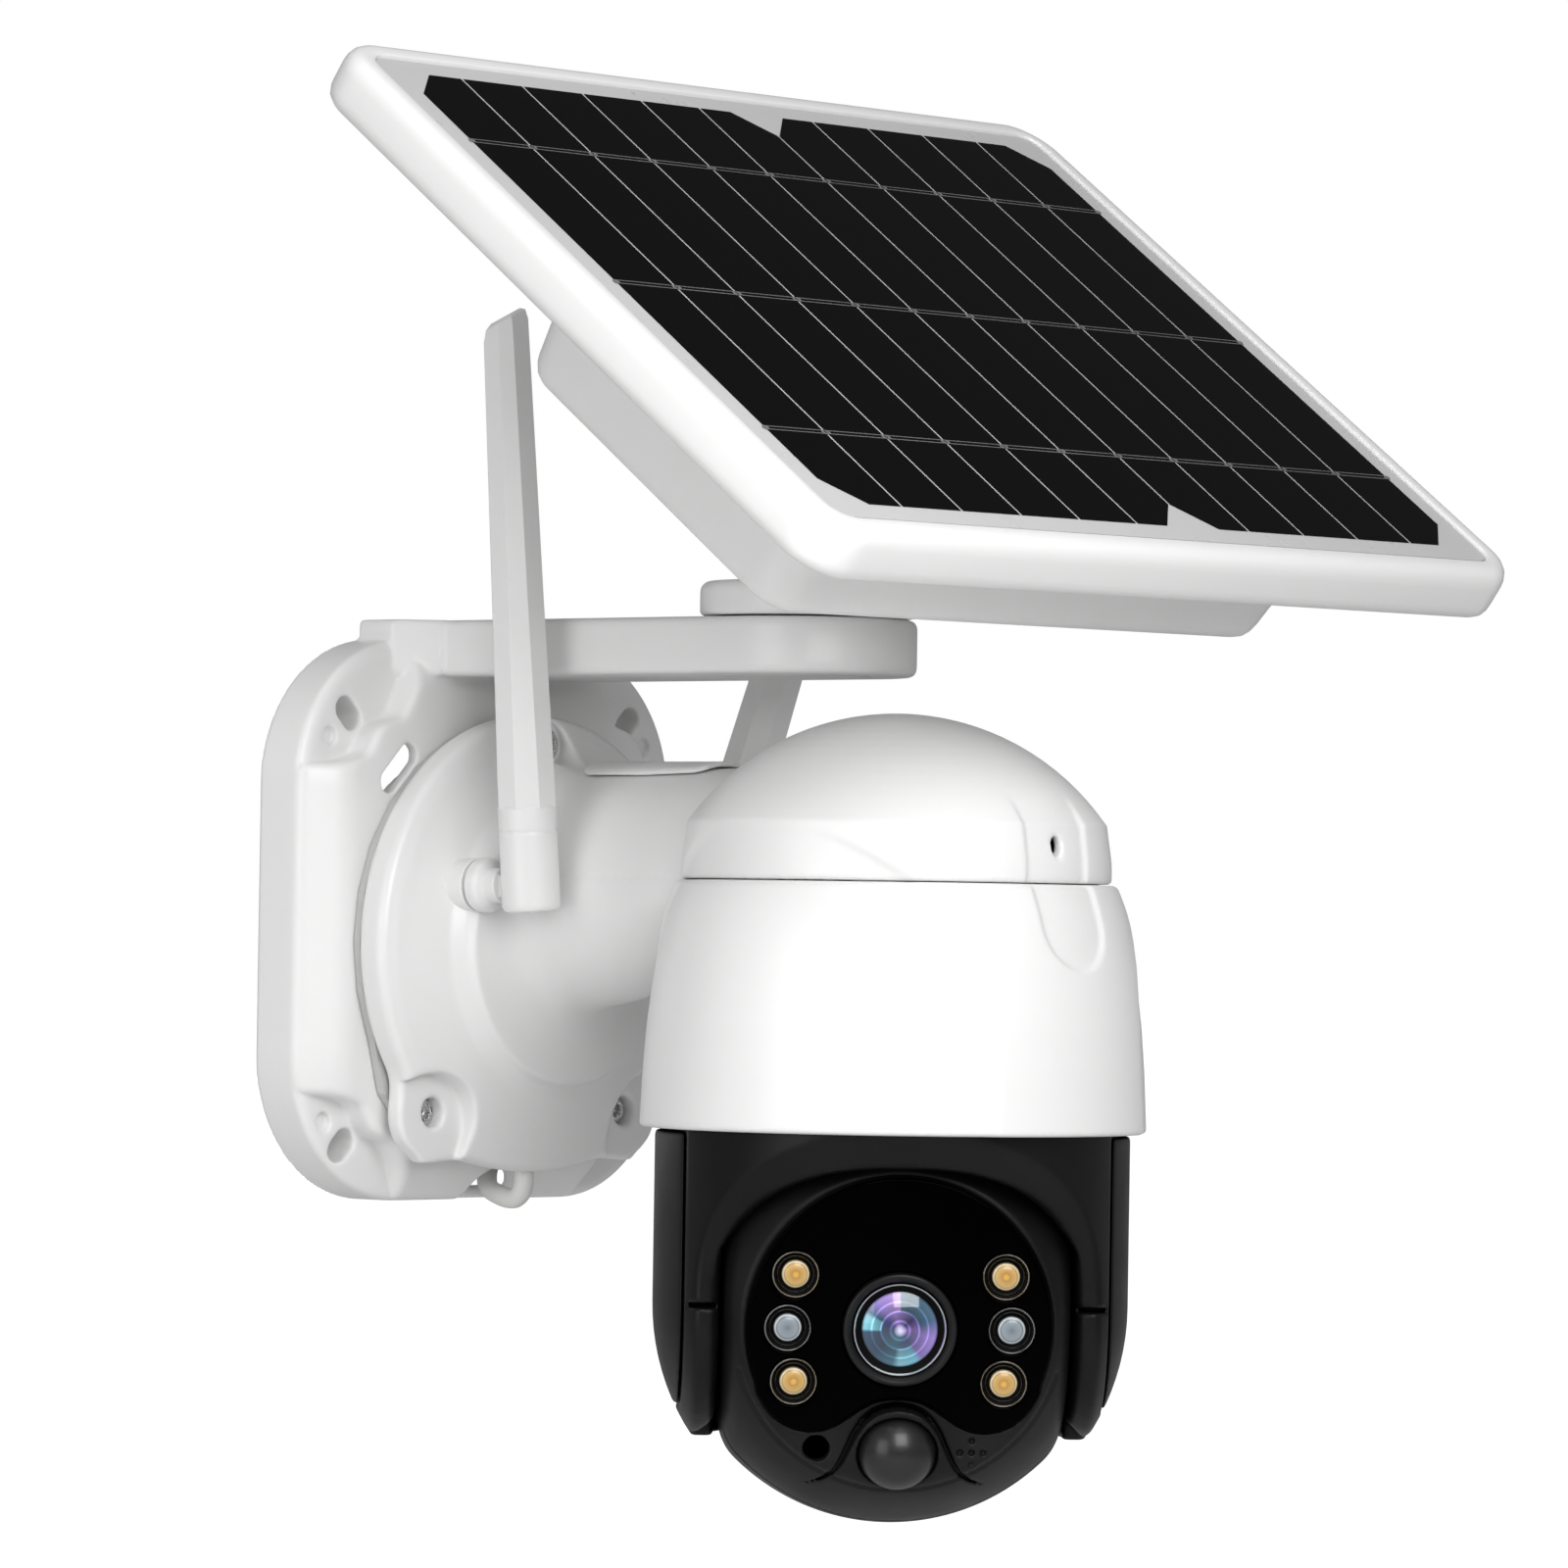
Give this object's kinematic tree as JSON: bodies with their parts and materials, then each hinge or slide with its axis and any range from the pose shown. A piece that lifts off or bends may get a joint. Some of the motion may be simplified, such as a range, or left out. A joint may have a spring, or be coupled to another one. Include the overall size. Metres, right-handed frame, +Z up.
{
  "type": "solar-powered security camera",
  "caption": "Wall-mounted pan and tilt security camera on an elbow base, with a tilting solar panel on an arm above it and folding antennas.",
  "frame": {"origin": "on the wall plane, 2 mm above the middle of the wall plate's back face", "axes": "+Y into the wall, +Z up, +X to the right when facing the wall; the camera stands out along -Y"},
  "size_m": [0.22, 0.2081, 0.3008],
  "materials": {
    "white_shell": "satin moulded white",
    "black_shell": "satin moulded black",
    "window": "polished black",
    "steel": "bright zinc",
    "gasket": "matt",
    "panel_glass": "clear tempered",
    "cells": "laminated cells",
    "board": "solder mask",
    "nylon": "natural",
    "lens_glass": "coated",
    "warm_lamp": "clear over phosphor",
    "infrared_lamp": "clear",
    "motor": "plated can",
    "sensor_dome": "smoked",
    "lead": "white sheath",
    "battery_wrap": "shrink wrap"
  },
  "bodies": {
    "bracket": {"wall_bracket": "white_shell", "arm_cable_cover": "white_shell", "camera_base": "white_shell", "base_gasket": "gasket", "card_cover": "white_shell", "flange_screw_left": "steel", "flange_screw_right": "steel", "flange_screw_top": "steel", "antenna_connector_left": "nylon", "antenna_connector_right": "nylon", "head_skirt": "white_shell", "head_chassis": "black_shell", "pan_motor": "motor", "speaker": "black_shell", "main_board": "board", "power_lead": "lead"},
    "pan_pinion_shaft": {"pan_pinion": "nylon"},
    "pan_yoke": {"yoke_shell": "black_shell", "yoke_cover_left": "black_shell", "yoke_cover_right": "black_shell", "pan_gear": "nylon", "tilt_gear": "nylon"},
    "camera_ball": {"ball_front_shell": "black_shell", "ball_rear_shell": "black_shell", "face_window": "window", "lens_bezel": "black_shell", "lens_barrel": "black_shell", "lens_ring": "steel", "lens_glass": "lens_glass", "sensor_board": "board", "pir_dome": "sensor_dome", "pir_trim": "black_shell", "lamp_1": "warm_lamp", "lamp_2": "infrared_lamp", "lamp_3": "warm_lamp", "lamp_4": "warm_lamp", "lamp_5": "infrared_lamp", "lamp_6": "warm_lamp", "tilt_motor": "motor"},
    "tilt_pinion_shaft": {"tilt_pinion": "nylon"},
    "solar_swivel": {"swivel_bracket": "white_shell", "hinge_bolt": "steel", "hinge_nut": "steel"},
    "solar_panel": {"panel_frame": "white_shell", "panel_glass": "panel_glass", "cell_laminate": "cells", "battery_box": "white_shell", "panel_knuckle": "white_shell", "battery_pack": "battery_wrap", "charge_board": "board"},
    "antenna_left_swivel": {"antenna_collar_left": "white_shell"},
    "antenna_left_blade": {"antenna_paddle_left": "white_shell"},
    "antenna_right_swivel": {"antenna_collar_right": "white_shell"},
    "antenna_right_blade": {"antenna_paddle_right": "white_shell"}
  },
  "joints": [
    {"name": "camera_pan", "type": "hinge", "parent": "bracket", "child": "pan_yoke", "pos_m": [0, -0.1295, -0.03], "axis": [0, 0, 1], "range_deg": [-131, 222]},
    {"name": "camera_tilt", "type": "hinge", "parent": "pan_yoke", "child": "camera_ball", "pos_m": [0, -0.1295, -0.0793], "axis": [0.7034, -0.7108, 0], "range_deg": [-12, 77]},
    {"name": "pan_pinion_spin", "type": "hinge", "parent": "bracket", "child": "pan_pinion_shaft", "pos_m": [0.026, -0.1295, -0.02], "axis": [0, 0, 1], "range_deg": [-745, 441]},
    {"name": "tilt_pinion_spin", "type": "hinge", "parent": "camera_ball", "child": "tilt_pinion_shaft", "pos_m": [-0.00129, -0.13078, -0.06491], "axis": [0.7034, -0.7108, 0], "range_deg": [-31, 176]},
    {"name": "panel_swivel", "type": "hinge", "parent": "bracket", "child": "solar_swivel", "pos_m": [0, -0.104, 0.066], "axis": [0, 0, 1], "range_deg": [-30, 30]},
    {"name": "panel_tilt", "type": "hinge", "parent": "solar_swivel", "child": "solar_panel", "pos_m": [0, -0.104, 0.0885], "axis": [1, 0, 0], "range_deg": [-15, 20]},
    {"name": "antenna_left_turn", "type": "hinge", "parent": "bracket", "child": "antenna_left_swivel", "pos_m": [-0.0285, -0.052, 0.0055], "axis": [0, 1, 0], "range_deg": [-75, 2]},
    {"name": "antenna_left_fold", "type": "hinge", "parent": "antenna_left_swivel", "child": "antenna_left_blade", "pos_m": [-0.0285, -0.052, 0.0055], "axis": [0.9962, 0, 0.0872], "range_deg": [0, 10]},
    {"name": "antenna_right_turn", "type": "hinge", "parent": "bracket", "child": "antenna_right_swivel", "pos_m": [0.0285, -0.052, 0.0055], "axis": [0, 1, 0], "range_deg": [-19, 55]},
    {"name": "antenna_right_fold", "type": "hinge", "parent": "antenna_right_swivel", "child": "antenna_right_blade", "pos_m": [0.0285, -0.052, 0.0055], "axis": [0.9219, 0, -0.3875], "range_deg": [0, 10]}
  ],
  "couplings": [
    {"joint": "pan_pinion_spin", "follows": "camera_pan", "ratio": -3.3333},
    {"joint": "tilt_pinion_spin", "follows": "camera_tilt", "ratio": 2.2222}
  ]
}
